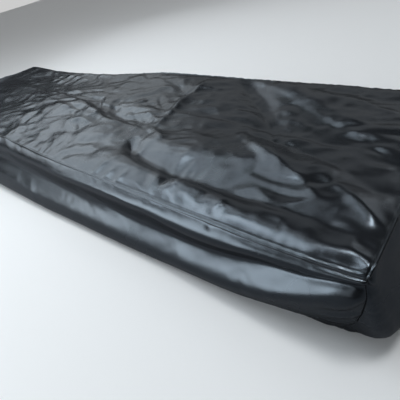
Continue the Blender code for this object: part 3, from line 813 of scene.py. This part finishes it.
class CoverColours(bpy.types.PropertyGroup):
    """Colours of the cloth and the studio"""
    cloth: FloatVectorProperty(name="Cloth", description="Colour of the coated nylon",
        subtype="COLOR", size=3, default=linear(0x121316))
    worn_cloth: FloatVectorProperty(name="Worn cloth", description="Colour where the coating is dusty",
        subtype="COLOR", size=3, default=linear(0x1B1D20))
    thread: FloatVectorProperty(name="Thread", description="Colour of the sewing thread",
        subtype="COLOR", size=3, default=linear(0x1A1B1E))
    floor: FloatVectorProperty(name="Floor", description="Colour of the studio floor",
        subtype="COLOR", size=3, default=linear(0xECEDEE))
    # Painted shade: a darker floor colour that only the cloth's reflections and bounced light see
    painted_dark_floor_reflection: FloatVectorProperty(name="Mirrored floor", subtype="COLOR", size=3,
        default=linear(0x707276),
        description="Colour of the floor in the cloth's gloss")


# Pieces

class COVER_OT_top(bpy.types.Operator):
    """Adds the top panel with its folds"""
    bl_idname = "cover.top"
    bl_label = "Top Panel"

    def execute(self, context):
        sizes, colours = context.scene.cover_sizes, context.scene.cover_colours
        form = CoverForm(sizes)
        front, right, back, left = [
            form.level_points("seam", side, side_stations(form, side, sizes.pitch, TOP_CORNER))[:, :2]
            for side in SIDE_ORDER]
        back, left = back[::-1], left[::-1]
        u = ((front[:, 0] - front[0, 0]) / (front[-1, 0] - front[0, 0]))[None, :, None]
        v = ((right[:, 1] - right[0, 1]) / (right[-1, 1] - right[0, 1]))[:, None, None]
        plan = ((1 - v) * front[None] + v * back[None] + (1 - u) * left[:, None] + u * right[:, None]
                - (1 - u) * (1 - v) * front[0] - u * (1 - v) * front[-1]
                - (1 - u) * v * back[0] - u * v * back[-1])
        x, y = plan[..., 0], plan[..., 1]
        height = form.top_height(x, y) + form.seam_relief(x, y)
        grid = np.concatenate((plan, height[..., None]), axis=-1)[::-1]
        material = woven_coated_nylon("coated_nylon_woven_top", colours)
        piece = thicken(build_mesh("top_sheet", grid, grid[..., :2], material), sizes.cloth)
        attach(piece, "root")
        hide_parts("top_panel")
        return {"FINISHED"}


class COVER_OT_skirts(bpy.types.Operator):
    """Adds the four skirts that hang from the top's seams"""
    bl_idname = "cover.skirts"
    bl_label = "Skirts"

    def execute(self, context):
        sizes, colours = context.scene.cover_sizes, context.scene.cover_colours
        form = CoverForm(sizes)
        material = woven_coated_nylon("coated_nylon_woven_skirt", colours)
        for side in SIDE_ORDER:
            grid, place, drops, normals = skirt_surface(form, side)
            grid, drops = turn_hem(grid, drops, normals)
            place = np.concatenate((place, np.repeat(place[-1:], len(grid) - len(place), axis=0)))
            cut = np.stack((place, -drops), axis=-1)
            node = side + ("_panel" if side in ("front", "back") else "_end_panel")
            piece = thicken(build_mesh(side + "_skirt", grid, cut, material), sizes.cloth)
            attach(piece, "root")
            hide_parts(node)
        return {"FINISHED"}


# How one stitch lies: its share of the stitch length, its rise in thread widths and its width
StitchRing = namedtuple("StitchRing", "share rise width")
STITCH = (StitchRing(0.05, -0.30, 0.55), StitchRing(0.20, 0.20, 0.95), StitchRing(0.50, 0.38, 1.0),
          StitchRing(0.80, 0.20, 0.95), StitchRing(0.95, -0.30, 0.55))
STITCH_SIDES = 5


def stitch_row(path, normals, sizes):
    """Points and faces of the stitches along a path on the cloth."""
    reach = np.concatenate(([0.0], np.cumsum(np.linalg.norm(np.diff(path, axis=0), axis=1))))
    count = max(1, round(reach[-1] / sizes.stitch))
    shares = np.array([ring.share for ring in STITCH])
    at = (np.arange(count)[:, None] + shares[None]) * reach[-1] / count
    centres = np.stack([np.interp(at, reach, path[:, axis]) for axis in range(3)], axis=-1)
    outward = unit(np.stack([np.interp(at, reach, normals[:, axis]) for axis in range(3)], axis=-1))
    onward = unit(np.gradient(centres, axis=1))
    across = unit(np.cross(outward, onward))
    rises = np.array([ring.rise for ring in STITCH]) * sizes.thread
    centres = centres + outward * rises[None, :, None]
    radii = (np.array([ring.width for ring in STITCH]) * sizes.thread / 2)[None, :, None, None]
    angle = np.linspace(0, 2 * math.pi, STITCH_SIDES, endpoint=False)[None, None, :, None]
    round_thread = across[:, :, None] * np.cos(angle) + outward[:, :, None] * np.sin(angle)
    rings = centres[:, :, None] + radii * round_thread
    faces = []
    for stitch in range(count):
        first = stitch * len(STITCH) * STITCH_SIDES
        last = first + (len(STITCH) - 1) * STITCH_SIDES
        faces.append([first + corner for corner in range(STITCH_SIDES)])
        for low in range(first, last, STITCH_SIDES):
            high = low + STITCH_SIDES
            for corner in range(STITCH_SIDES):
                beside = (corner + 1) % STITCH_SIDES
                faces.append([low + corner, high + corner, high + beside, low + beside])
        faces.append([last + corner for corner in reversed(range(STITCH_SIDES))])
    return rings.reshape(-1, 3), faces


def add_stitches(name, rows, material, sizes):
    """One joined mesh of all the stitches along some rows, each a path with its normals."""
    points, faces = [], []
    for path, normals in rows:
        row_points, row_faces = stitch_row(path, normals, sizes)
        start = sum(len(part) for part in points)
        faces += [[start + corner for corner in face] for face in row_faces]
        points.append(row_points)
    mesh = bpy.data.meshes.new(name)
    mesh.from_pydata(np.concatenate(points).tolist(), [], faces)
    mesh.shade_smooth()
    mesh.materials.append(material)
    piece = bpy.data.objects.new(name, mesh)
    bpy.context.scene.collection.objects.link(piece)
    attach(piece, "root")
    return piece


class COVER_OT_stitches(bpy.types.Operator):
    """Adds the stitches of the hem and of the seams"""
    bl_idname = "cover.stitches"
    bl_label = "Stitches"

    def execute(self, context):
        sizes, colours = context.scene.cover_sizes, context.scene.cover_colours
        form = CoverForm(sizes)
        thread = twisted_polyester("polyester_thread_twisted", colours)
        hem, seams = [], []
        for side in SIDE_ORDER:
            grid, _, drops, normals = skirt_surface(form, side)
            from_hem = drops[-1, 0] - drops[:, 0]
            row = int(np.argmin(np.abs(from_hem - HEM)))
            lift = (sizes.cloth + sizes.thread * 0.5) / 2
            hem.append((grid[row] + normals[row] * lift, normals[row]))
            seams.append((grid[1] + normals[1] * lift, normals[1]))
            seams.append((grid[2:, -2] + normals[2:, -2] * lift, normals[2:, -2]))
        add_stitches("hem_stitches", hem, thread, sizes)
        add_stitches("seam_stitches", seams, thread, sizes)
        return {"FINISHED"}


# The camera that was fitted to the photograph, with a lens in millimetres
CAMERA_PLACE = Vector((0.7574, -0.4676, 0.2972))
CAMERA_RIGHT = Vector((0.7776, 0.5969, -0.1976))
CAMERA_DOWN = Vector((0.2515, -0.5833, -0.7723))
CAMERA_LENS = 31.27


# One row for each light: where it stands and faces, its size in metres, its power in watts, its
# colour and the angle that it spreads over
Light = namedtuple("Light", "name place target width height power colour spread",
                   defaults=(math.pi,))
WINDOW_BLUE, ROOM_BLUE = (0.90, 0.96, 1.0), (0.92, 0.97, 1.0)
WALL_WHITE, WASH_WHITE = (0.95, 0.98, 1.0), (0.97, 0.99, 1.0)
LIGHTS = (
    Light("window_softbox", (-1.4, -0.1, 1.22), (0.0, -0.1, 1.0), 1.8, 1.24, 13.5, WINDOW_BLUE),
    Light("low_softbox", (-1.4, -0.62, 0.5), (0.0, -0.3, 0.2), 0.9, 0.5, 2.4, WINDOW_BLUE),
    Light("pale_wall", (-1.4, 1.1, 1.0), (0.2, 0.3, 0.3), 0.7, 1.2, 1.3, ROOM_BLUE),
    Light("dim_wall", (-0.6, 1.8, 0.95), (0.2, 0.0, 0.3), 3.2, 1.3, 3.2, WALL_WHITE),
    Light("high_softbox", (-0.75, -0.9, 2.2), (0.4, -0.25, 0.0), 1.2, 1.2, 24, WINDOW_BLUE),
    Light("ceiling_softbox", (-0.7, 0.45, 1.9), (0.4, 0.0, 0.0), 1.0, 0.8, 4, ROOM_BLUE),
    Light("front_softbox", (-0.88, -1.7, 0.5), (0.45, -0.2, 0.0), 1.3, 1.3, 5.4, WINDOW_BLUE, 1.5),
    Light("front_fill", (0.5, -2.2, 0.8), (0.5, -0.2, 0.0), 1.6, 1.0, 3.5, WALL_WHITE),
    Light("floor_wash", (0.0, 0.0, 5.0), (0.0, 0.0, 0.0), 14.0, 14.0, 190, WASH_WHITE, 0.35),
    Light("right_fill", (2.2, 0.5, 1.1), (0.5, 0.0, 0.0), 1.2, 0.9, 1.2, WALL_WHITE),
    Light("back_fill", (1.3, 2.2, 1.0), (0.0, 0.2, 0.0), 1.6, 0.9, 3.2, WALL_WHITE),
)
FLOOR_REACH = 6.5
# The backdrop is pale to the eye, and gives the black cloth little to mirror
MIRRORED_GLOW, SEEN_GLOW = 0.014, 0.6


class COVER_OT_stage(bpy.types.Operator):
    """Adds the floor, the lights and the camera"""
    bl_idname = "cover.stage"
    bl_label = "Stage"

    def execute(self, context):
        scene, colours = context.scene, context.scene.cover_colours
        low = FRAME_BOX[0][2]
        corners = [(x * FLOOR_REACH, y * FLOOR_REACH, low)
                   for x, y in ((-1, -1), (1, -1), (1, 1), (-1, 1))]
        mesh = bpy.data.meshes.new("floor")
        mesh.from_pydata(corners, [], [(0, 1, 2, 3)])
        mesh.materials.append(matt_painted_floor("matt_paint_floor", colours))
        floor = bpy.data.objects.new("floor", mesh)
        scene.collection.objects.link(floor)
        for row in LIGHTS:
            lamp = bpy.data.lights.new(row.name, "AREA")
            lamp.shape = "RECTANGLE"
            lamp.size, lamp.size_y = row.width, row.height
            lamp.energy, lamp.color, lamp.spread = row.power, row.colour, row.spread
            light = bpy.data.objects.new(row.name, lamp)
            light.location = row.place
            aim = Vector(row.target) - Vector(row.place)
            light.rotation_euler = aim.to_track_quat("-Z", "Y").to_euler()
            scene.collection.objects.link(light)
        scene.world = bpy.data.worlds.new("studio")
        scene.world.use_nodes = True
        tree = scene.world.node_tree
        seen = add_node(tree, "LightPath")
        glow = add_node(tree, "MapRange", {"To Min": MIRRORED_GLOW, "To Max": SEEN_GLOW},
                        {"Value": seen.outputs["Is Camera Ray"]})
        background = tree.nodes["Background"]
        background.inputs["Color"].default_value = (1.0, 1.0, 1.0, 1.0)
        tree.links.new(glow.outputs["Result"], background.inputs["Strength"])
        scene.view_settings.view_transform = "Standard"
        lens = bpy.data.cameras.new("camera")
        lens.lens, lens.sensor_width = CAMERA_LENS, 36.0
        camera = bpy.data.objects.new("camera", lens)
        right, down = CAMERA_RIGHT.normalized(), CAMERA_DOWN.normalized()
        turn = Matrix((right, -down, -right.cross(down))).transposed()
        camera.matrix_world = Matrix.Translation(CAMERA_PLACE) @ turn.to_4x4()
        scene.collection.objects.link(camera)
        scene.camera = camera
        return {"FINISHED"}


class COVER_PT_panel(bpy.types.Panel):
    """Lists the cover's sizes, colours and pieces"""
    bl_label = "Fitted Piano Cover"
    bl_idname = "COVER_PT_panel"
    bl_space_type = "VIEW_3D"
    bl_region_type = "UI"
    bl_category = "Cover"

    def draw(self, context):
        for group in (context.scene.cover_sizes, context.scene.cover_colours):
            for name in group.__annotations__:
                self.layout.prop(group, name)
        for operator in OPERATORS:
            self.layout.operator(operator.bl_idname)


OPERATORS = (COVER_OT_top, COVER_OT_skirts, COVER_OT_stitches, COVER_OT_stage)
CLASSES = (CoverSizes, CoverColours, *OPERATORS, COVER_PT_panel)


def register():
    for kind in CLASSES:
        bpy.utils.register_class(kind)
    bpy.types.Scene.cover_sizes = PointerProperty(type=CoverSizes)
    bpy.types.Scene.cover_colours = PointerProperty(type=CoverColours)


def unregister():
    del bpy.types.Scene.cover_colours
    del bpy.types.Scene.cover_sizes
    for kind in reversed(CLASSES):
        bpy.utils.unregister_class(kind)


def main():
    register()
    bpy.ops.cover.top()
    bpy.ops.cover.skirts()
    bpy.ops.cover.stitches()
    bpy.ops.cover.stage()


if __name__ == "__main__":
    main()
